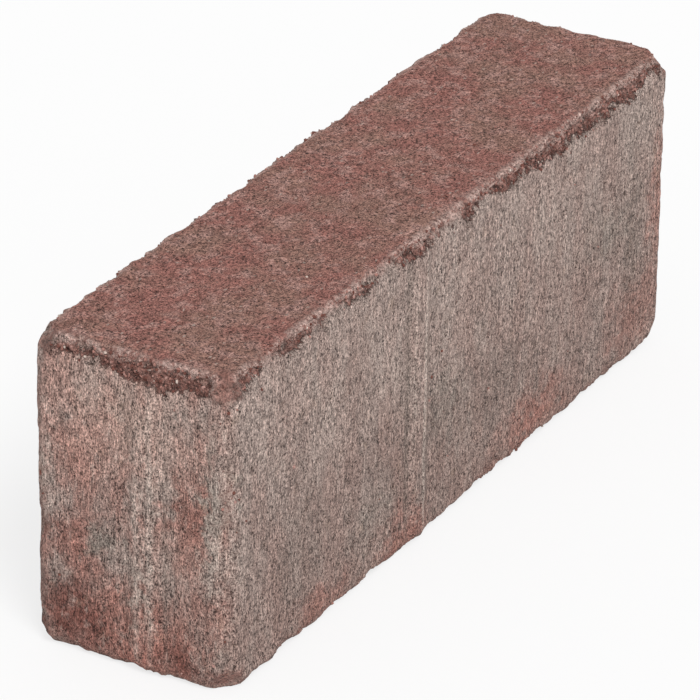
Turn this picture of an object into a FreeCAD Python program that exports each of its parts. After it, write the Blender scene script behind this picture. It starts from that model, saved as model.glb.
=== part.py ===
import FreeCAD, Part
import math
import os
import random

# A tumbled brick-size paving block, pressed from concrete in one piece.
# The block lies on its bed face with its long axis along X. The origin is the centre of the bed
# face, and +Z points up to the walking face. Low upright ribs on the four sides space it from its
# neighbours. Tumbling has rounded every edge, broken scallops out of the edges and knocked the
# corners back. All sizes are in millimetres.

# Driving dimensions
body_length = 198.0
body_width = 49.0
height = 75.0

# Upright spacer ribs, one on each side
rib_depth = 0.9
rib_base_width = 9.0
rib_crest_width = 4.0
side_rib_offset = -20.0
end_rib_offset = 3.5
rib_root = 2.0

# Rounding that the drum gives every edge
upright_edge_radius = 3.6
top_edge_radius = 2.2
bottom_edge_radius = 2.8

# Scallops broken out of the edges: spacing along the edge, tool radius and depth of bite
chip_pitch = 9.0
chip_radius = (5.0, 11.0)
chip_bite = (0.25, 1.15)
chip_lean = 14.0
chip_seed = 41

# Corners knocked back: tool radius, and the depth of bite at each corner,
# named by its end (-1 or 1), its side (-1 or 1) and its level (0 bed, 1 walking face)
knock_radius = 13.0
knock_bite = {
    (-1, -1, 0): 2.6,
    (-1, -1, 1): 1.6,
    (-1, 1, 0): 1.0,
    (-1, 1, 1): 2.6,
    (1, -1, 0): 2.8,
    (1, -1, 1): 2.3,
    (1, 1, 0): 1.6,
    (1, 1, 1): 1.5,
}

half_length = body_length / 2
half_width = body_width / 2
face_slack = 0.01


def worn_block(length, width):
    """A block of the full height, centred on the origin, with its twelve edges rounded."""
    block = Part.makeBox(length, width, height, FreeCAD.Vector(-length / 2, -width / 2, 0))
    upright = [edge for edge in block.Edges if edge.BoundBox.ZLength > height / 2]
    block = block.makeFillet(upright_edge_radius, upright)
    top = [edge for edge in block.Edges if edge.BoundBox.ZMin > height - face_slack]
    block = block.makeFillet(top_edge_radius, top)
    bottom = [edge for edge in block.Edges if edge.BoundBox.ZMax < face_slack]
    return block.makeFillet(bottom_edge_radius, bottom)


def rib_bar(side_distance, offset, turn):
    """A straight upright bar of trapezoid section, standing proud of the side that faces turn degrees."""
    section = [
        (side_distance - rib_root, -rib_base_width / 2),
        (side_distance, -rib_base_width / 2),
        (side_distance + rib_depth, -rib_crest_width / 2),
        (side_distance + rib_depth, rib_crest_width / 2),
        (side_distance, rib_base_width / 2),
        (side_distance - rib_root, rib_base_width / 2),
    ]
    corners = [FreeCAD.Vector(out, along + offset, 0) for out, along in section]
    outline = Part.makePolygon(corners + corners[:1])
    bar = Part.Face(outline).extrude(FreeCAD.Vector(0, 0, height))
    bar.rotate(FreeCAD.Vector(0, 0, 0), FreeCAD.Vector(0, 0, 1), turn)
    return bar


def spacer_ribs():
    """The four ribs, with rounded ends. Opposite ribs are half a turn apart, so that they never meet."""
    envelope = worn_block(body_length + 2 * rib_depth, body_width + 2 * rib_depth)
    bars = [
        rib_bar(half_length, end_rib_offset, 0),
        rib_bar(half_length, end_rib_offset, 180),
        rib_bar(half_width, side_rib_offset, 90),
        rib_bar(half_width, side_rib_offset, 270),
    ]
    return [bar.common(envelope) for bar in bars]


def block_edges():
    """Each edge of the sharp block as its middle, direction, outward diagonal, length and radius."""
    edges = []
    for across in (-1, 1):
        for level, radius in ((0, bottom_edge_radius), (1, top_edge_radius)):
            up = 2 * level - 1
            long_middle = FreeCAD.Vector(0, across * half_width, level * height)
            long_out = FreeCAD.Vector(0, across, up)
            edges.append((long_middle, FreeCAD.Vector(1, 0, 0), long_out, body_length, radius))
            short_middle = FreeCAD.Vector(across * half_length, 0, level * height)
            short_out = FreeCAD.Vector(across, 0, up)
            edges.append((short_middle, FreeCAD.Vector(0, 1, 0), short_out, body_width, radius))
        for along in (-1, 1):
            middle = FreeCAD.Vector(along * half_length, across * half_width, height / 2)
            out = FreeCAD.Vector(along, across, 0)
            edges.append((middle, FreeCAD.Vector(0, 0, 1), out, height, upright_edge_radius))
    return edges


def edge_chips(dice):
    """Balls that bite scallops out of each rounded edge at uneven steps."""
    balls = []
    for middle, direction, outward, length, radius in block_edges():
        diagonal = FreeCAD.Vector(outward).normalize()
        worn_back = radius * (math.sqrt(2) - 1)
        count = round(length / chip_pitch)
        for step in range(count):
            along = ((step + dice.uniform(0.15, 0.85)) / count - 0.5) * length
            ball_radius = dice.uniform(*chip_radius)
            bite = dice.uniform(*chip_bite)
            lean = FreeCAD.Rotation(direction, dice.uniform(-chip_lean, chip_lean))
            reach = ball_radius - worn_back - bite
            centre = middle + direction * along + lean.multVec(diagonal) * reach
            balls.append(Part.makeSphere(ball_radius, centre))
    return balls


def corner_knocks():
    """One larger ball at each of the eight corners."""
    balls = []
    worn_back = upright_edge_radius * (math.sqrt(3) - 1)
    for (along, across, level), bite in knock_bite.items():
        corner = FreeCAD.Vector(along * half_length, across * half_width, level * height)
        outward = FreeCAD.Vector(along, across, 2 * level - 1).normalize()
        reach = knock_radius - worn_back - bite
        balls.append(Part.makeSphere(knock_radius, corner + outward * reach))
    return balls


def tumbled_brick():
    """The ribbed block with every scallop and knocked corner cut away, without any loose crumbs."""
    dice = random.Random(chip_seed)
    block = worn_block(body_length, body_width).fuse(spacer_ribs()).removeSplitter()
    for tool in edge_chips(dice) + corner_knocks():
        block = block.cut(tool)
    return max(block.Solids, key=lambda solid: solid.Volume)


brick = tumbled_brick()
os.makedirs("parts", exist_ok=True)
brick.exportStep("parts/brick.step")
print("brick", brick.isValid(), round(brick.Volume), brick.BoundBox)
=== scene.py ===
import math

import bmesh
import bpy
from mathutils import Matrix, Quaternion, Vector


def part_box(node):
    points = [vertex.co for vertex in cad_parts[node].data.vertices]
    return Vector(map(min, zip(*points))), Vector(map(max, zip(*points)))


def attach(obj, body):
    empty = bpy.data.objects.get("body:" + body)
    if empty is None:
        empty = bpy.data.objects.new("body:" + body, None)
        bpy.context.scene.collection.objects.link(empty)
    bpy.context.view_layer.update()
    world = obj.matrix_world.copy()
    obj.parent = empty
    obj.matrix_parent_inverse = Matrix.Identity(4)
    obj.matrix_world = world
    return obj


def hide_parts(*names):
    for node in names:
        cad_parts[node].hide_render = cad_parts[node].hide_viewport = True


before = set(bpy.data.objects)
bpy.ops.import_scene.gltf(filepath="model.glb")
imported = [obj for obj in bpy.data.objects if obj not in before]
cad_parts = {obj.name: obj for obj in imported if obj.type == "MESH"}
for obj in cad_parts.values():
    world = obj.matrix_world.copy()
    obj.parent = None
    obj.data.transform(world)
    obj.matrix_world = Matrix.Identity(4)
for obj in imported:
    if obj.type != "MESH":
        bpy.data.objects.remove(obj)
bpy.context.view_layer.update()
brickLow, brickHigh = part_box("brick")
brickCentre = (brickLow + brickHigh) / 2
brickHalf = (brickHigh - brickLow) / 2
mmPerMetre = 1000.0
print("frame loaded, brick box", brickLow[:], brickHigh[:])


# small helpers that make node trees readable, for shader trees and geometry trees alike
def newTree(name, kind, inputs, outputs):
    tree = bpy.data.node_groups.new(name, kind)
    for socketName, socketKind, value in inputs:
        socket = tree.interface.new_socket(name=socketName, in_out="INPUT", socket_type=socketKind)
        if value is not None:
            socket.default_value = value
    for socketName, socketKind in outputs:
        tree.interface.new_socket(name=socketName, in_out="OUTPUT", socket_type=socketKind)
    given = tree.nodes.new("NodeGroupInput")
    result = tree.nodes.new("NodeGroupOutput")
    return tree, given.outputs, result.inputs


def fill(tree, socket, value):
    if isinstance(value, bpy.types.NodeSocket):
        tree.links.new(value, socket)
    else:
        socket.default_value = value


def node(tree, kind, inputs=None, **settings):
    made = tree.nodes.new(kind)
    for option, value in settings.items():
        setattr(made, option, value)
    for key, value in (inputs or {}).items():
        fill(tree, made.inputs[key], value)
    return made


def calc(tree, operation, *values):
    return node(tree, "ShaderNodeMath", dict(enumerate(values)), operation=operation).outputs[0]


def total(tree, *values):
    result = values[0]
    for value in values[1:]:
        result = calc(tree, "ADD", result, value)
    return result


def product(tree, *values):
    result = values[0]
    for value in values[1:]:
        result = calc(tree, "MULTIPLY", result, value)
    return result


def vectorCalc(tree, operation, *values):
    made = node(tree, "ShaderNodeVectorMath", dict(enumerate(values)), operation=operation)
    return made.outputs["Value" if operation in ("LENGTH", "DOT_PRODUCT") else "Vector"]


def stretched(tree, vector, x, y, z):
    return vectorCalc(tree, "MULTIPLY", vector, (x, y, z))


def toMm(tree, vector):
    return stretched(tree, vector, mmPerMetre, mmPerMetre, mmPerMetre)


def scaled(tree, vector, factor):
    made = node(tree, "ShaderNodeVectorMath", {0: vector, "Scale": factor}, operation="SCALE")
    return made.outputs["Vector"]


def centredSwing(tree, value):
    return calc(tree, "SUBTRACT", value, 0.5)  # noise lies about 0.5, so this swings about 0


def split(tree, vector):
    return node(tree, "ShaderNodeSeparateXYZ", {0: vector}).outputs


def fade(tree, value, low, high, toLow=0.0, toHigh=1.0):
    inputs = {"Value": value, "From Min": low, "From Max": high, "To Min": toLow, "To Max": toHigh}
    made = node(tree, "ShaderNodeMapRange", inputs, interpolation_type="SMOOTHSTEP")
    return made.outputs["Result"]


def noise(tree, vector, scale, detail, roughness):
    inputs = {"Vector": vector, "Scale": scale, "Detail": detail, "Roughness": roughness}
    return node(tree, "ShaderNodeTexNoise", inputs).outputs["Fac"]


def cells(tree, vector, scale):
    return node(tree, "ShaderNodeTexVoronoi", {"Vector": vector, "Scale": scale}).outputs


# a push in all three directions, for fraying edges; strength is its length in the vector's own unit
def warp(tree, vector, settings, strength):
    made = node(tree, "ShaderNodeTexNoise", {"Vector": vector, **settings})
    centred = vectorCalc(tree, "SUBTRACT", made.outputs["Color"], (0.5, 0.5, 0.5))
    return scaled(tree, centred, strength)


# where the mix node keeps its share and its colour sockets
mixSockets = {"share": 0, "under": 6, "over": 7, "result": 2}


def paint(tree, share, under, over):
    values = {"share": share, "under": under, "over": over}
    inputs = {mixSockets[key]: value for key, value in values.items()}
    return node(tree, "ShaderNodeMix", inputs, data_type="RGBA").outputs[mixSockets["result"]]


def useGroup(tree, group, inputs):
    made = node(tree, "ShaderNodeGroup", node_tree=group)
    for key, value in inputs.items():
        fill(tree, made.inputs[key], value)
    return made.outputs


def tone(red, green, blue):
    def linear(level):  # from screen levels to light
        level /= 255
        return level / 12.92 if level <= 0.04045 else ((level + 0.055) / 1.055) ** 2.4

    return (linear(red), linear(green), linear(blue), 1.0)


def bakeModifiers(piece):
    depsgraph = bpy.context.evaluated_depsgraph_get()
    mesh = bpy.data.meshes.new_from_object(piece.evaluated_get(depsgraph))
    piece.modifiers.clear()
    piece.data = mesh


def countTriangles(mesh):
    return sum(len(polygon.vertices) - 2 for polygon in mesh.polygons)


def runTree(piece, tree, values):
    modifier = piece.modifiers.new(tree.name, "NODES")
    modifier.node_group = tree
    sockets = [item for item in tree.interface.items_tree if item.in_out == "INPUT"]
    names = {socket.name: socket.identifier for socket in sockets}
    for key, value in values.items():
        modifier[names[key]] = value
    bakeModifiers(piece)


# the concrete's colours, written as they look in plain light
concreteColours = {
    "walkingRed": tone(155, 106, 97),
    "walkingBrown": tone(151, 115, 103),
    "walkingPink": tone(176, 138, 129),
    "brokenRed": tone(114, 73, 64),
    "brokenLight": tone(164, 120, 110),
    # painted shade for pores, pits and the hollows between grains
    "hollowShade": tone(50, 32, 29),
    "hazeLight": tone(179, 160, 151),
    "hazeDark": tone(147, 126, 118),
    "hazeShade": tone(124, 110, 102),
    "bodyRed": tone(165, 113, 101),
    "hazePink": tone(194, 161, 149),
    "deepRed": tone(118, 73, 64),
    "cementGrey": tone(140, 133, 124),
    # pale lime, also used as the painted highlight along the ribs
    "limeAndHighlightWhite": tone(203, 186, 175),
    # painted highlight for the crest of the top edge
    "paintedCrestHighlight": tone(208, 178, 168),
    "ochre": tone(150, 124, 104),
}


def buildSpeckle():
    # sandy grain: a shade that swings about 1 and a height, both per grain
    tree, given, result = newTree(
        "sandSpeckle",
        "ShaderNodeTree",
        [
            ("Vector", "NodeSocketVector", None),
            ("Grain per mm", "NodeSocketFloat", 2.2),
            ("Contrast", "NodeSocketFloat", 0.3),
        ],
        [(name, "NodeSocketFloat") for name in ("Shade", "Height", "Hollow")],
    )
    fine = noise(tree, given["Vector"], given["Grain per mm"], 2.0, 0.75)
    coarsePerMm = calc(tree, "MULTIPLY", given["Grain per mm"], 0.37)
    coarse = noise(tree, given["Vector"], coarsePerMm, 2.0, 0.6)
    fineSwing = product(tree, centredSwing(tree, fine), 3.4)
    swing = total(tree, fineSwing, product(tree, centredSwing(tree, coarse), 1.4))
    fill(tree, result["Shade"], calc(tree, "MULTIPLY_ADD", swing, given["Contrast"], 1.0))
    fill(tree, result["Height"], total(tree, product(tree, fine, 0.7), product(tree, coarse, 0.3)))
    # Hollow marks the low places between grains, where painted shade goes
    level = total(tree, fine, product(tree, coarse, 0.4))
    fill(tree, result["Hollow"], fade(tree, level, 0.5, 0.6, 1.0, 0.0))
    return tree


def buildPores():
    # small open pores: mask is 1 in a pore; Amount is the share of cells that hold one
    tree, given, result = newTree(
        "openPores",
        "ShaderNodeTree",
        [
            ("Vector", "NodeSocketVector", None),
            ("Pores per mm", "NodeSocketFloat", 0.6),
            ("Amount", "NodeSocketFloat", 0.4),
            ("Size", "NodeSocketFloat", 0.3),
        ],
        [("Mask", "NodeSocketFloat")],
    )
    bend = warp(tree, given["Vector"], {"Scale": 1.3, "Detail": 2.0}, 0.9)
    vector = vectorCalc(tree, "ADD", given["Vector"], bend)
    cell = cells(tree, vector, given["Pores per mm"])
    chance = split(tree, cell["Color"])
    kept = calc(tree, "LESS_THAN", chance[0], given["Amount"])
    radius = product(tree, given["Size"], fade(tree, chance[1], 0.0, 1.0, 0.45, 1.25))
    inner = calc(tree, "MULTIPLY", radius, 0.45)
    hollow = fade(tree, cell["Distance"], inner, radius, 1.0, 0.0)
    fill(tree, result["Mask"], calc(tree, "MULTIPLY", hollow, kept))
    return tree


def buildStain():
    # one soft-edged patch, an ellipsoid in millimetres; a pushed vector frays its edge
    tree, given, result = newTree(
        "softStain",
        "ShaderNodeTree",
        [
            ("Vector", "NodeSocketVector", None),
            ("Centre", "NodeSocketVector", None),
            ("Reach", "NodeSocketVector", (10.0, 10.0, 10.0)),
            ("Fray", "NodeSocketFloat", 0.5),
        ],
        [("Mask", "NodeSocketFloat")],
    )
    away = vectorCalc(tree, "SUBTRACT", given["Vector"], given["Centre"])
    away = vectorCalc(tree, "DIVIDE", away, given["Reach"])
    solid = calc(tree, "SUBTRACT", 1.0, given["Fray"])
    fill(tree, result["Mask"], fade(tree, vectorCalc(tree, "LENGTH", away), solid, 1.0, 1.0, 0.0))
    return tree


def buildCloud():
    # uneven clouding: a mask of blotches with a set cover and edge
    tree, given, result = newTree(
        "patchyCloud",
        "ShaderNodeTree",
        [
            ("Vector", "NodeSocketVector", None),
            ("Patches per mm", "NodeSocketFloat", 0.08),
            ("Cover", "NodeSocketFloat", 0.5),
            ("Edge", "NodeSocketFloat", 0.12),
        ],
        [("Mask", "NodeSocketFloat")],
    )
    field = noise(tree, given["Vector"], given["Patches per mm"], 5.0, 0.62)
    middle = fade(tree, given["Cover"], 0.0, 1.0, 0.7, 0.3)
    low = calc(tree, "SUBTRACT", middle, given["Edge"])
    high = calc(tree, "ADD", middle, given["Edge"])
    fill(tree, result["Mask"], fade(tree, field, low, high))
    return tree


speckle, pores, stain, cloud = buildSpeckle(), buildPores(), buildStain(), buildCloud()


def sandGrain(tree, vector, grainPerMm, contrast):
    inputs = {"Vector": vector, "Grain per mm": grainPerMm, "Contrast": contrast}
    return useGroup(tree, speckle, inputs)


def poreMask(tree, vector, poresPerMm, amount, size):
    inputs = {"Vector": vector, "Pores per mm": poresPerMm, "Amount": amount, "Size": size}
    return useGroup(tree, pores, inputs)["Mask"]


def stainMask(tree, vector, centre, reach, softness):
    inputs = {"Vector": vector, "Centre": centre, "Reach": reach, "Fray": softness}
    return useGroup(tree, stain, inputs)["Mask"]


def blotches(tree, vector, patchesPerMm, cover, edge):
    inputs = {"Vector": vector, "Patches per mm": patchesPerMm, "Cover": cover, "Edge": edge}
    return useGroup(tree, cloud, inputs)["Mask"]


print("surface effects built")

# the finished skin: depths in metres, reaches in millimetres
skin = {
    "voxel": 0.00054,
    "triangles": 186000,
    "crumbleDepth": 0.0012,
    "bandDepth": 0.0005,
    "wornDepth": 0.00032,
    "bedGap": 0.00008,
    "grainDepth": 0.00016,
    "dragDepth": 0.00018,
    "pitDepth": 0.0006,
    "swellDepth": 0.0007,
    "rimReach": 4.4,
    "rimWander": 9.0,
    "bandReach": 3.7,
    "bandExtraAtEnds": 1.6,
    "bandWander": 17.0,
    "bandFray": 7.0,
    "mergeDistance": 1e-6,
    "seedStep": 13.7,
    "seed": 7,
}


def finishTree(tree, geometry, given, result):
    real = node(tree, "GeometryNodeRealizeInstances", {"Geometry": geometry}).outputs[0]
    inputs = {"Geometry": real, "Material": given["Material"]}
    fill(tree, result["Geometry"], node(tree, "GeometryNodeSetMaterial", inputs).outputs[0])


def buildSkinTree():
    # presses the broken band under the top edge, worn rims, drag lines and pits into the skin
    tree, given, result = newTree(
        "tumbledSkin",
        "GeometryNodeTree",
        [
            ("Geometry", "NodeSocketGeometry", None),
            ("Centre", "NodeSocketVector", None),
            ("Half Size", "NodeSocketVector", None),
            ("Crumble Depth", "NodeSocketFloat", 0.001),
            ("Band Depth", "NodeSocketFloat", 0.0005),
            ("Worn Depth", "NodeSocketFloat", 0.0002),
            ("Bed Gap", "NodeSocketFloat", 0.0001),
            ("Grain Depth", "NodeSocketFloat", 0.0001),
            ("Drag Depth", "NodeSocketFloat", 0.0001),
            ("Pit Depth", "NodeSocketFloat", 0.0005),
            ("Swell Depth", "NodeSocketFloat", 0.0005),
            ("Seed", "NodeSocketInt", 0),
            ("Material", "NodeSocketMaterial", None),
        ],
        [("Geometry", "NodeSocketGeometry")],
    )
    position = node(tree, "GeometryNodeInputPosition").outputs[0]
    normal = node(tree, "GeometryNodeInputNormal").outputs[0]
    seedStep = product(tree, given["Seed"], skin["seedStep"])
    shift = node(tree, "ShaderNodeCombineXYZ", {0: seedStep, 1: seedStep, 2: seedStep}).outputs[0]
    local = vectorCalc(tree, "SUBTRACT", position, given["Centre"])
    inMm = vectorCalc(tree, "ADD", toMm(tree, local), shift)
    ragged = noise(tree, inMm, 0.55, 4.0, 0.7)
    slow = noise(tree, inMm, 0.09, 3.0, 0.6)

    # distance inside each pair of the block's planes; the middle one is the distance to an edge
    gap = vectorCalc(tree, "SUBTRACT", given["Half Size"], vectorCalc(tree, "ABSOLUTE", local))
    gap = split(tree, toMm(tree, gap))
    most = calc(tree, "MAXIMUM", calc(tree, "MAXIMUM", gap[0], gap[1]), gap[2])
    least = calc(tree, "MINIMUM", calc(tree, "MINIMUM", gap[0], gap[1]), gap[2])
    edgeGap = calc(tree, "SUBTRACT", calc(tree, "SUBTRACT", total(tree, *gap), most), least)
    wander = product(tree, centredSwing(tree, slow), skin["rimWander"])
    rim = fade(tree, calc(tree, "ADD", edgeGap, wander), 0.0, skin["rimReach"], 1.0, 0.0)

    # the band of broken concrete under the top edge: deepest at the ends, thinner on the sides
    above = calc(tree, "GREATER_THAN", split(tree, local)[2], 0.0)
    fromPlane = calc(tree, "MINIMUM", gap[0], gap[1])
    atEnd = fade(tree, calc(tree, "SUBTRACT", gap[1], gap[0]), -1.0, 2.0)
    depthOfBand = total(
        tree,
        skin["bandReach"],
        product(tree, atEnd, skin["bandExtraAtEnds"]),
        product(tree, centredSwing(tree, slow), skin["bandWander"]),
        product(tree, centredSwing(tree, ragged), skin["bandFray"]),
    )
    band = fade(tree, calc(tree, "SUBTRACT", depthOfBand, gap[2]), -0.35, 0.45)
    nearWall = fade(tree, fromPlane, 2.3, 3.6, 1.0, 0.0)
    band = product(tree, band, above, nearWall, fade(tree, gap[2], 0.5, 1.5))
    band = product(tree, band, fade(tree, most, 4.5, 8.0))  # fades out before a corner

    # crumbled concrete: sharp-edged lumps between rounded ones
    lumps = noise(tree, inMm, 0.5, 4.0, 0.7)
    facets = cells(tree, inMm, 0.42)["Distance"]
    broken = total(tree, product(tree, lumps, 0.85), product(tree, facets, 0.4))
    crumble = fade(tree, broken, 0.42, 0.85)

    # upright drag lines that the mould leaves on the four sides
    axis = split(tree, normal)
    upright = fade(tree, calc(tree, "ABSOLUTE", axis[2]), 0.3, 0.75, 1.0, 0.0)
    lines = noise(tree, stretched(tree, inMm, 0.9, 0.9, 0.06), 1.0, 3.0, 0.6)
    drag = product(tree, calc(tree, "SUBTRACT", 0.5, lines), upright)

    # pits where air was trapped, more of them on the sides
    pitCell = cells(tree, stretched(tree, inMm, 1.0, 1.0, 0.7), 0.4)
    chance = split(tree, pitCell["Color"])
    share = fade(tree, upright, 0.0, 1.0, 0.12, 0.3)
    pitSize = fade(tree, chance[1], 0.0, 1.0, 0.16, 0.42)
    pit = fade(tree, calc(tree, "DIVIDE", pitCell["Distance"], pitSize), 0.35, 1.0, 1.0, 0.0)
    pit = product(tree, pit, calc(tree, "LESS_THAN", chance[0], share))

    grain = centredSwing(tree, noise(tree, inMm, 0.95, 2.0, 0.6))
    swell = centredSwing(tree, noise(tree, inMm, 0.035, 2.0, 0.5))
    crumbled = calc(tree, "MAXIMUM", product(tree, rim, 0.7), band)
    worn = total(tree, rim, fade(tree, axis[2], 0.5, 0.9))
    depth = total(
        tree,
        product(tree, crumble, crumbled, given["Crumble Depth"]),
        product(tree, worn, given["Worn Depth"]),
        product(tree, band, given["Band Depth"]),
        product(tree, grain, given["Grain Depth"]),
        product(tree, drag, given["Drag Depth"]),
        product(tree, pit, given["Pit Depth"]),
        product(tree, swell, given["Swell Depth"]),
    )
    inwards = scaled(tree, normal, calc(tree, "MULTIPLY", depth, -1.0))
    parts = split(tree, vectorCalc(tree, "ADD", position, inwards))

    # the bed stays just clear of the floor
    bedCorner = vectorCalc(tree, "SUBTRACT", given["Centre"], given["Half Size"])
    lowest = calc(tree, "ADD", split(tree, bedCorner)[2], given["Bed Gap"])
    lifted = calc(tree, "MAXIMUM", parts[2], lowest)
    target = node(tree, "ShaderNodeCombineXYZ", {0: parts[0], 1: parts[1], 2: lifted}).outputs[0]

    inputs = {"Geometry": given["Geometry"], "Position": target}
    moved = node(tree, "GeometryNodeSetPosition", inputs).outputs[0]
    for label, value in (("rim", rim), ("band", band), ("crumble", crumble), ("pit", pit)):
        inputs = {"Geometry": moved, "Name": label, "Value": value}
        moved = node(tree, "GeometryNodeStoreNamedAttribute", inputs, data_type="FLOAT").outputs[0]
    finishTree(tree, moved, given, result)
    return tree


# stains, in millimetres from the block's centre: centre, reach, fray, strength
nearEnd, farEnd = brickLow.x * mmPerMetre, brickHigh.x * mmPerMetre
nearSide, farSide = brickLow.y * mmPerMetre, brickHigh.y * mmPerMetre
stains = {
    "bodyRed": [
        ((nearEnd, 12, 14), (12, 14, 16), 0.9, 0.7),
        ((nearEnd, -13, 4), (12, 8, 18), 0.9, 0.75),
        ((nearEnd, 0, -30), (12, 24, 18), 0.9, 0.85),
        ((nearEnd, 14, -12), (12, 10, 12), 0.9, 0.6),
        ((-62, nearSide, -34), (18, 10, 9), 0.9, 0.6),
        ((-26, nearSide, -33), (15, 10, 10), 0.9, 0.75),
        ((34, nearSide, -30), (26, 10, 11), 0.9, 0.75),
        ((84, nearSide, -24), (20, 10, 14), 0.9, 0.6),
        ((95, nearSide, 2), (6, 10, 34), 0.9, 0.55),
        ((-58, farSide, -24), (30, 10, 16), 0.9, 0.7),
        ((30, farSide, -31), (22, 10, 10), 0.9, 0.7),
        ((72, farSide, 6), (16, 10, 22), 0.9, 0.5),
        ((farEnd, 8, 10), (12, 12, 24), 0.9, 0.7),
    ],
    "deepRed": [
        ((nearEnd, 14, -27), (14, 13, 13), 0.9, 0.9),
        ((nearEnd, -12, -33), (12, 9, 9), 0.9, 0.85),
        ((nearEnd, 18, -8), (10, 6, 8), 0.9, 0.6),
        ((nearEnd, -11, 2), (10, 5, 12), 0.9, 0.4),
        ((farEnd, 6, -18), (14, 15, 15), 0.9, 0.85),
        ((farEnd, -10, 12), (12, 8, 12), 0.9, 0.5),
    ],
    "cementGrey": [
        ((nearEnd, 1, 22), (10, 8, 9), 0.9, 0.8),
        ((nearEnd, -20, 8), (10, 4, 26), 0.9, 0.7),
        ((nearEnd, 7, -8), (10, 5, 8), 0.9, 0.65),
        ((nearEnd, -3, -18), (10, 4, 14), 0.9, 0.6),
        ((-8, nearSide, -8), (14, 10, 14), 0.9, 0.5),
        ((70, nearSide, 2), (22, 10, 12), 0.9, 0.45),
        ((-40, nearSide, -22), (14, 10, 12), 0.9, 0.4),
        ((12, farSide, 2), (26, 10, 14), 0.9, 0.6),
        ((farEnd, 10, 18), (10, 8, 12), 0.9, 0.7),
    ],
    "hazePink": [
        ((nearEnd, 2, 22), (12, 30, 22), 0.9, 0.7),
        ((nearEnd, -8, -6), (12, 12, 14), 0.9, 0.3),
        ((farEnd, 0, 24), (12, 26, 16), 0.9, 0.6),
    ],
    "hazeShade": [
        ((82, nearSide, 0), (6, 10, 38), 0.9, 0.6),
        ((16, nearSide, -14), (40, 10, 14), 0.9, 0.35),
        ((-70, nearSide, -14), (14, 10, 22), 0.9, 0.3),
        ((-30, farSide, 0), (10, 10, 34), 0.9, 0.5),
    ],
    "limeAndHighlightWhite": [
        ((nearEnd, -3.5, -2), (8, 3, 42), 0.9, 0.45),
        ((nearEnd, -21.5, -2), (8, 4, 36), 0.9, 0.45),
        ((nearEnd, 22, 8), (8, 3, 16), 0.9, 0.4),
    ],
}

# painted light on the ribs: a painted highlight along the crest, painted shade along the flanks
ribHighlightAndShade = {
    "hazeShade": [
        ((-25.0, nearSide, 0), (1.6, 8, 60), 0.8, 0.6),
        ((-16.2, nearSide, 0), (1.2, 8, 60), 0.8, 0.35),
        ((25.0, farSide, 0), (1.6, 8, 60), 0.8, 0.6),
        ((nearEnd, -8.6, 0), (8, 1.2, 60), 0.8, 0.35),
        ((farEnd, 8.6, 0), (8, 1.2, 60), 0.8, 0.35),
    ],
    "limeAndHighlightWhite": [
        ((-18.4, nearSide, -4), (1.2, 8, 60), 0.9, 0.65),
        ((-22.6, nearSide, 8), (0.9, 8, 40), 0.9, 0.25),
        ((18.4, farSide, 4), (1.1, 8, 60), 0.9, 0.5),
        ((nearEnd, -5.2, 2), (8, 1.4, 60), 0.9, 0.45),
        ((nearEnd, -1.8, -16), (8, 1.6, 30), 0.9, 0.35),
        ((farEnd, 5.2, 0), (8, 1.4, 60), 0.9, 0.45),
    ],
}


sheen = 0.25  # dry concrete hardly shines
reliefHeight = 0.0008  # metres, for the relief finer than the mesh


def emptyMaterial(name):
    material = bpy.data.materials.new(name)
    material.use_nodes = True
    material.node_tree.nodes.clear()
    return material, material.node_tree


def finishShader(tree, inputs):
    shader = node(tree, "ShaderNodeBsdfPrincipled", inputs)
    node(tree, "ShaderNodeOutputMaterial", {"Surface": shader.outputs[0]})


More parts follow.
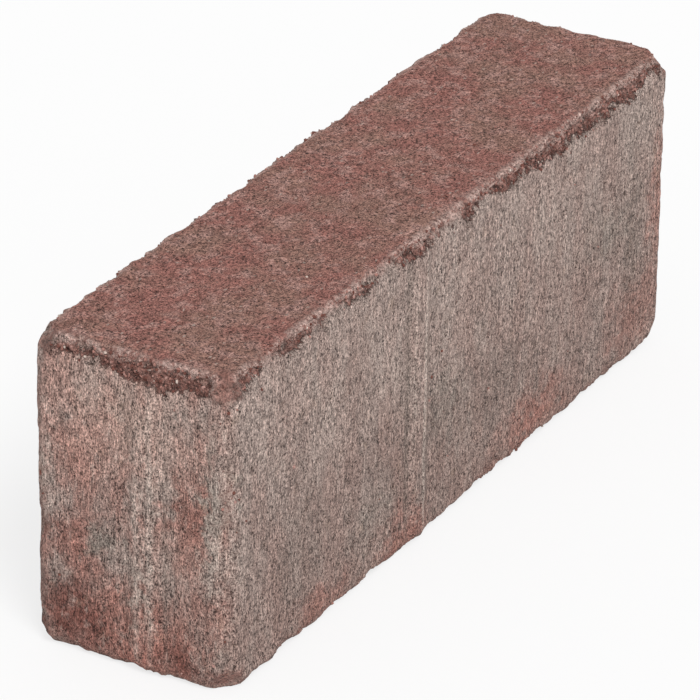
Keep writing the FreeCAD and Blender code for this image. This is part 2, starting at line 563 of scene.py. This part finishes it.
def buildConcrete():
    material, tree = emptyMaterial("pressedConcrete")
    coordinate = node(tree, "ShaderNodeTexCoord").outputs["Object"]
    centred = vectorCalc(tree, "SUBTRACT", coordinate, brickCentre)
    inMm = toMm(tree, centred)
    place = split(tree, inMm)
    rim, band, crumble, pit = (
        node(tree, "ShaderNodeAttribute", attribute_name=name).outputs["Fac"]
        for name in ("rim", "band", "crumble", "pit")
    )
    halfSize = brickHalf * mmPerMetre
    below = calc(tree, "SUBTRACT", halfSize.z, place[2])
    fromEnd = calc(tree, "SUBTRACT", halfSize.x, calc(tree, "ABSOLUTE", place[0]))
    fromSide = calc(tree, "SUBTRACT", halfSize.y, calc(tree, "ABSOLUTE", place[1]))
    fromPlane = calc(tree, "MINIMUM", fromEnd, fromSide)
    fine = noise(tree, inMm, 1.3, 3.0, 0.7)
    fray = product(tree, centredSwing(tree, fine), 1.6)

    # zones: walking face, four sides, the ends among them, and the bed
    side = fade(tree, calc(tree, "ADD", below, product(tree, fray, 1.5)), 1.4, 2.2)
    end = fade(tree, calc(tree, "SUBTRACT", fromSide, fromEnd), -3.0, 3.0)
    fromBed = calc(tree, "ADD", place[2], halfSize.z)
    bed = fade(tree, fromBed, 0.5, 2.0, 1.0, 0.0)

    # grain of the walking face
    colours = concreteColours
    topGrain = sandGrain(tree, inMm, 2.7, 1.4)
    crumbs = stretched(tree, inMm, 0.8, 1.5, 1.0)
    topCloud = blotches(tree, inMm, 0.05, 0.5, 0.1)
    topPink = blotches(tree, inMm, 0.26, 0.4, 0.08)
    top = paint(tree, topCloud, colours["walkingRed"], colours["walkingBrown"])
    top = paint(tree, product(tree, topPink, 0.75), top, colours["walkingPink"])
    topDark = blotches(tree, crumbs, 0.3, 0.36, 0.1)
    top = paint(tree, product(tree, topDark, 0.42), top, colours["brokenRed"])
    topPores = poreMask(tree, inMm, 1.5, 0.16, 0.34)
    flecks = poreMask(tree, crumbs, 0.7, 0.14, 0.34)
    top = scaled(tree, top, topGrain["Shade"])
    # painted shade in the hollows between grains and in the pores
    top = paint(tree, product(tree, topGrain["Hollow"], 0.5), top, colours["hollowShade"])
    top = paint(tree, product(tree, flecks, 0.5), top, colours["limeAndHighlightWhite"])
    top = paint(tree, product(tree, topPores, 0.6), top, colours["hollowShade"])

    # the long sides: cement haze dragged upright, more open and redder towards the bed
    push = warp(tree, inMm, {"Scale": 0.16, "Detail": 6.0, "Roughness": 0.7}, 26.0)
    frayed = vectorCalc(tree, "ADD", inMm, push)
    dragged = stretched(tree, inMm, 1.0, 1.0, 0.14)
    streaks = sandGrain(tree, dragged, 3.6, 0.7)
    sideGrain = sandGrain(tree, stretched(tree, inMm, 1.0, 1.0, 0.62), 3.4, 1.3)
    drawn = stretched(tree, inMm, 1.0, 1.0, 0.42)
    broad = blotches(tree, drawn, 0.09, 0.5, 0.16)
    lowered = fade(tree, below, 14.0, 62.0)
    dark = total(tree, product(tree, broad, 0.4), product(tree, lowered, 0.5))
    dark = calc(tree, "MINIMUM", dark, 1.0)
    haze = paint(tree, dark, colours["hazeLight"], colours["hazeDark"])
    bare = blotches(tree, drawn, 0.15, 0.5, 0.12)
    bareShare = product(tree, bare, fade(tree, end, 0.0, 1.0, 0.15, 0.55))
    wall = paint(tree, bareShare, haze, colours["bodyRed"])
    mottle = blotches(tree, inMm, 0.3, 0.72, 0.12)
    for name, patches in stains.items():
        for centre, reach, softness, strength in patches:
            mask = stainMask(tree, frayed, centre, reach, softness)
            mask = product(tree, mask, mottle, strength)
            wall = paint(tree, mask, wall, colours[name])
    # painted highlight along each rib's crest and painted shade along its flanks
    nudged = vectorCalc(tree, "ADD", inMm, stretched(tree, push, 0.07, 0.07, 0.5))
    for name, patches in ribHighlightAndShade.items():
        for centre, reach, softness, strength in patches:
            mask = product(tree, stainMask(tree, nudged, centre, reach, softness), strength)
            wall = paint(tree, mask, wall, colours[name])
    limed = blotches(tree, drawn, 0.42, 0.26, 0.07)
    limeShare = total(tree, 0.16, product(tree, end, 0.24), product(tree, rim, 0.2))
    wall = paint(tree, product(tree, limed, limeShare), wall, colours["limeAndHighlightWhite"])
    rust = blotches(tree, inMm, 0.2, 0.2, 0.08)
    wall = paint(tree, product(tree, rust, 0.3), wall, colours["ochre"])
    openness = total(tree, 0.12, product(tree, lowered, 0.2))
    tall = stretched(tree, inMm, 1.0, 1.0, 0.7)
    sidePores = poreMask(tree, tall, 1.4, openness, 0.36)
    openGrain = total(tree, 0.26, product(tree, lowered, 0.46), product(tree, broad, 0.18))
    wall = scaled(tree, wall, product(tree, streaks["Shade"], sideGrain["Shade"]))
    # painted shade in the hollows between grains and in the pores
    wall = paint(tree, product(tree, sideGrain["Hollow"], openGrain), wall, colours["hollowShade"])
    wall = paint(tree, product(tree, sidePores, 0.6), wall, colours["hollowShade"])

    # broken concrete: its own dark red, darker in its hollows as painted shade and paler on its
    # raised lumps as painted highlight
    brokenGrain = sandGrain(tree, inMm, 1.5, 1.2)
    broken = paint(tree, crumble, colours["brokenLight"], colours["brokenRed"])
    broken = scaled(tree, broken, brokenGrain["Shade"])
    # painted shade in the pores and between the grains of the broken concrete
    brokenPores = poreMask(tree, inMm, 1.2, 0.35, 0.42)
    broken = paint(tree, product(tree, brokenPores, 0.8), broken, colours["hollowShade"])
    bandEdge = fade(tree, calc(tree, "ADD", band, product(tree, fray, 1.5)), 0.2, 0.75)
    colour = paint(tree, side, top, wall)
    broken = paint(tree, product(tree, brokenGrain["Hollow"], 0.6), broken, colours["hollowShade"])
    colour = paint(tree, product(tree, bandEdge, 0.88), colour, broken)

    # painted highlight along the crest of the top edge, and worn spots on the other edges
    inland = total(tree, fromPlane, product(tree, fray, 1.2))
    nearTop = fade(tree, below, 1.6, 3.0, 1.0, 0.0)
    crest = product(tree, nearTop, fade(tree, inland, 2.4, 4.2, 1.0, 0.0))
    wearAndHighlightBlotches = blotches(tree, inMm, 0.17, 0.62, 0.06)
    highlightBreakup = blotches(tree, inMm, 0.7, 0.6, 0.06)
    highlightBreakup = fade(tree, highlightBreakup, 0.0, 1.0, 0.1, 1.0)
    lit = product(tree, crest, wearAndHighlightBlotches, highlightBreakup)
    # a paler pink strip and pale patches on the crest: painted highlight
    colour = paint(tree, product(tree, crest, 0.3), colour, colours["walkingPink"])
    crestHighlightTint = scaled(tree, colours["paintedCrestHighlight"][:3], brokenGrain["Shade"])
    colour = paint(tree, product(tree, lit, 0.85), colour, crestHighlightTint)
    furthest = calc(tree, "MAXIMUM", fromEnd, fromSide)
    furthest = calc(tree, "MAXIMUM", furthest, calc(tree, "MINIMUM", below, fromBed))
    knocked = fade(tree, calc(tree, "ADD", furthest, product(tree, fray, 2.0)), 4.5, 6.5, 1.0, 0.0)
    colour = paint(tree, product(tree, knocked, 0.7), colour, broken)
    lowRim = product(tree, rim, fade(tree, below, 8.0, 14.0), wearAndHighlightBlotches)
    colour = paint(tree, product(tree, lowRim, 0.35), colour, colours["bodyRed"])

    # the bed: bare and open-grained
    bedColour = paint(tree, dark, colours["bodyRed"], colours["hazeDark"])
    bedColour = scaled(tree, bedColour, sideGrain["Shade"])
    # painted shade in the hollows between grains and in the pores
    bedColour = paint(tree, product(tree, sideGrain["Hollow"], 0.45), bedColour, colours["hollowShade"])
    bedColour = paint(tree, product(tree, topPores, 0.6), bedColour, colours["hollowShade"])
    bedColour = paint(tree, product(tree, topPink, 0.5), bedColour, colours["hazeLight"])
    colour = paint(tree, bed, colour, bedColour)
    # painted shade in the pits
    colour = paint(tree, product(tree, pit, 0.35), colour, colours["hollowShade"])

    # relief finer than the mesh
    brokenShare = calc(tree, "MAXIMUM", bandEdge, product(tree, crest, 0.6))
    height = total(
        tree,
        product(tree, topGrain["Height"], fade(tree, side, 0.0, 1.0, 1.0, 0.2)),
        product(tree, streaks["Height"], side, 0.8),
        product(tree, sideGrain["Height"], side, 0.8),
        product(tree, brokenGrain["Height"], brokenShare, 2.6),
        product(tree, sidePores, side, -0.9),
        product(tree, topPores, calc(tree, "SUBTRACT", 1.0, side), -0.7),
        product(tree, brokenPores, bandEdge, -1.4),
    )
    inputs = {"Strength": 1.0, "Distance": reliefHeight, "Height": height}
    bump = node(tree, "ShaderNodeBump", inputs).outputs[0]
    rough = fade(tree, topGrain["Height"], 0.3, 0.7, 0.82, 0.96)
    inputs = {"Base Color": colour, "Roughness": rough, "Normal": bump, "Specular IOR Level": sheen}
    finishShader(tree, inputs)
    return material


def buildBrickSkin(material):
    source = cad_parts["brick"].data.copy()
    shell = bmesh.new()
    shell.from_mesh(source)
    bmesh.ops.remove_doubles(shell, verts=shell.verts, dist=skin["mergeDistance"])
    shell.to_mesh(source)
    shell.free()
    piece = bpy.data.objects.new("brick_skin", source)
    bpy.context.scene.collection.objects.link(piece)
    remesh = piece.modifiers.new("evenMesh", "REMESH")
    remesh.mode = "VOXEL"
    remesh.voxel_size = skin["voxel"]
    bakeModifiers(piece)
    values = {
        "Centre": brickCentre,
        "Half Size": brickHalf,
        "Crumble Depth": skin["crumbleDepth"],
        "Band Depth": skin["bandDepth"],
        "Worn Depth": skin["wornDepth"],
        "Bed Gap": skin["bedGap"],
        "Grain Depth": skin["grainDepth"],
        "Drag Depth": skin["dragDepth"],
        "Pit Depth": skin["pitDepth"],
        "Swell Depth": skin["swellDepth"],
        "Seed": skin["seed"],
        "Material": material,
    }
    runTree(piece, buildSkinTree(), values)
    thin = piece.modifiers.new("fewerTriangles", "DECIMATE")
    thin.ratio = skin["triangles"] / countTriangles(piece.data)
    bakeModifiers(piece)
    for polygon in piece.data.polygons:
        polygon.use_smooth = True
    return piece


concrete = buildConcrete()
brickSkin = buildBrickSkin(concrete)
print("brick skin", countTriangles(brickSkin.data), "triangles")

# grains of sand and stone that the broken edges lay bare: counts per square metre, sizes in metres
grit = {
    "onBand": 1.1e6,
    "onFace": 2.0e3,
    "onRim": 0.16,
    "least": 0.00014,
    "most": 0.00046,
    "aboveBed": 0.0008,
    "seed": 23,
    "tints": [
        (0.45, "brokenLight"),
        (0.74, "walkingPink"),
        (0.88, "hazeDark"),
        (0.96, "limeAndHighlightWhite"),
    ],
}


def randomVector(tree, low, high, seed):
    inputs = {0: low, 1: high, "Seed": seed}
    return node(tree, "FunctionNodeRandomValue", inputs, data_type="FLOAT_VECTOR").outputs[0]


def randomShare(tree, seed):
    return node(tree, "FunctionNodeRandomValue", {"Seed": seed}, data_type="FLOAT").outputs[1]


def buildGritTree():
    tree, given, result = newTree(
        "scatteredGrit",
        "GeometryNodeTree",
        [
            ("Geometry", "NodeSocketGeometry", None),
            ("On Band", "NodeSocketFloat", 1.0e6),
            ("On Face", "NodeSocketFloat", 2.0e4),
            ("Lowest", "NodeSocketFloat", 0.001),
            ("Least", "NodeSocketFloat", 0.0002),
            ("Most", "NodeSocketFloat", 0.0005),
            ("Seed", "NodeSocketInt", 0),
            ("Material", "NodeSocketMaterial", None),
        ],
        [("Geometry", "NodeSocketGeometry")],
    )
    band, rim = (
        node(tree, "GeometryNodeInputNamedAttribute", {"Name": name}, data_type="FLOAT").outputs[0]
        for name in ("band", "rim")
    )
    wear = total(tree, band, product(tree, rim, grit["onRim"]))
    height = split(tree, node(tree, "GeometryNodeInputPosition").outputs[0])[2]
    clear = calc(tree, "GREATER_THAN", height, given["Lowest"])
    density = total(tree, product(tree, wear, given["On Band"]), given["On Face"])
    density = product(tree, density, clear)
    inputs = {"Mesh": given["Geometry"], "Density": density, "Seed": given["Seed"]}
    spots = node(tree, "GeometryNodeDistributePointsOnFaces", inputs).outputs["Points"]
    ball = node(tree, "GeometryNodeMeshIcoSphere", {"Radius": 1.0, "Subdivisions": 1}).outputs[0]
    turn = randomVector(tree, (0.0, 0.0, 0.0), (math.tau, math.tau, math.tau), 0)
    mostlySmall = calc(tree, "POWER", randomShare(tree, 3), 2.2)
    size = fade(tree, mostlySmall, 0.0, 1.0, given["Least"], given["Most"])
    shape = randomVector(tree, (0.7, 0.7, 0.5), (1.3, 1.3, 1.1), 5)
    scale = scaled(tree, shape, size)
    inputs = {"Points": spots, "Instance": ball, "Rotation": turn, "Scale": scale}
    grains = node(tree, "GeometryNodeInstanceOnPoints", inputs).outputs[0]
    inputs = {"Geometry": grains, "Name": "tint", "Value": randomShare(tree, 9)}
    settings = {"data_type": "FLOAT", "domain": "INSTANCE"}
    stored = node(tree, "GeometryNodeStoreNamedAttribute", inputs, **settings).outputs[0]
    finishTree(tree, stored, given, result)
    return tree


def buildGritMaterial():
    material, tree = emptyMaterial("exposedGrit")
    tint = node(tree, "ShaderNodeAttribute", attribute_name="tint").outputs["Fac"]
    coordinate = node(tree, "ShaderNodeTexCoord").outputs["Object"]
    inMm = toMm(tree, coordinate)
    colour = concreteColours["brokenRed"]
    for start, name in grit["tints"]:
        colour = paint(tree, calc(tree, "GREATER_THAN", tint, start), colour, concreteColours[name])
    grain = sandGrain(tree, inMm, 3.0, 0.4)
    shade = scaled(tree, colour, grain["Shade"])
    finishShader(tree, {"Base Color": shade, "Roughness": 0.85, "Specular IOR Level": sheen})
    return material


looseGrit = bpy.data.objects.new("exposed_grit", brickSkin.data.copy())
bpy.context.scene.collection.objects.link(looseGrit)
gritValues = {
    "On Band": grit["onBand"],
    "On Face": grit["onFace"],
    "Lowest": brickLow.z + grit["aboveBed"],
    "Least": grit["least"],
    "Most": grit["most"],
    "Seed": grit["seed"],
    "Material": buildGritMaterial(),
}
runTree(looseGrit, buildGritTree(), gritValues)
print("exposed grit", countTriangles(looseGrit.data), "triangles")

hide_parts("brick")
for piece in (brickSkin, looseGrit):
    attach(piece, "root")

# studio: pale floor, soft sky and one broad lamp
studio = {
    "floorSize": 12.0,
    "floorWhite": 0.9,
    "floorGlow": 0.75,
    "skyLevel": 0.55,
    "lampLevel": 2.0,
    "lampFrom": (-0.40, -0.52, 0.76),
    "lampAngle": 24.0,  # degrees across the lamp, for soft shadows
}


def buildStudio():
    scene = bpy.context.scene
    scene.view_settings.view_transform = "Standard"
    world = bpy.data.worlds.new("studioSky")
    scene.world = world
    world.use_nodes = True
    tree = world.node_tree
    tree.nodes.clear()
    seen = node(tree, "ShaderNodeLightPath").outputs["Is Camera Ray"]
    level = fade(tree, seen, 0.0, 1.0, studio["skyLevel"], 1.0)
    sky = node(tree, "ShaderNodeBackground", {"Color": (1.0, 1.0, 1.0, 1.0), "Strength": level})
    node(tree, "ShaderNodeOutputWorld", {"Surface": sky.outputs[0]})

    lamp = bpy.data.objects.new("studioLamp", bpy.data.lights.new("studioLamp", "SUN"))
    lamp.data.energy = studio["lampLevel"]
    lamp.data.angle = math.radians(studio["lampAngle"])
    lamp.rotation_mode = "QUATERNION"
    lamp.rotation_quaternion = Vector(studio["lampFrom"]).to_track_quat("Z", "Y")
    scene.collection.objects.link(lamp)

    half = studio["floorSize"] / 2
    corners = [(-half, -half, 0), (half, -half, 0), (half, half, 0), (-half, half, 0)]
    floorMesh = bpy.data.meshes.new("floor")
    floorMesh.from_pydata(corners, [], [(0, 1, 2, 3)])
    floor = bpy.data.objects.new("floor", floorMesh)
    scene.collection.objects.link(floor)
    material, tree = emptyMaterial("paleFloor")
    white = studio["floorWhite"]
    plain = node(tree, "ShaderNodeBsdfDiffuse", {"Color": (white, white, white, 1.0)})
    glow = node(tree, "ShaderNodeEmission", {"Strength": 1.0})
    seen = node(tree, "ShaderNodeLightPath").outputs["Is Camera Ray"]
    share = product(tree, seen, studio["floorGlow"])
    mixed = node(tree, "ShaderNodeMixShader", {0: share, 1: plain.outputs[0], 2: glow.outputs[0]})
    node(tree, "ShaderNodeOutputMaterial", {"Surface": mixed.outputs[0]})
    floorMesh.materials.append(material)


# the camera stands off one end, looking down the long side
camera = {
    "azimuth": 29.6,
    "elevation": 27.0,
    "roll": 0.8,
    "distance": 1.168,
    "lens": 269.7,
    "aim": (-0.0034, 0.0022, -0.0037),
    "clip": (0.05, 50.0),
}


def buildCamera():
    made = bpy.data.objects.new("camera", bpy.data.cameras.new("camera"))
    azimuth, elevation = math.radians(camera["azimuth"]), math.radians(camera["elevation"])
    flat = math.cos(elevation)
    back = Vector((-math.cos(azimuth) * flat, -math.sin(azimuth) * flat, math.sin(elevation)))
    aim = brickCentre + Vector(camera["aim"])
    made.location = aim + back * camera["distance"]
    made.rotation_mode = "QUATERNION"
    facing = (-back).to_track_quat("-Z", "Y")
    made.rotation_quaternion = facing @ Quaternion((0, 0, 1), math.radians(camera["roll"]))
    made.data.lens = camera["lens"]
    made.data.clip_start, made.data.clip_end = camera["clip"]
    bpy.context.scene.collection.objects.link(made)
    bpy.context.scene.camera = made


buildStudio()
buildCamera()
print("studio and camera ready")
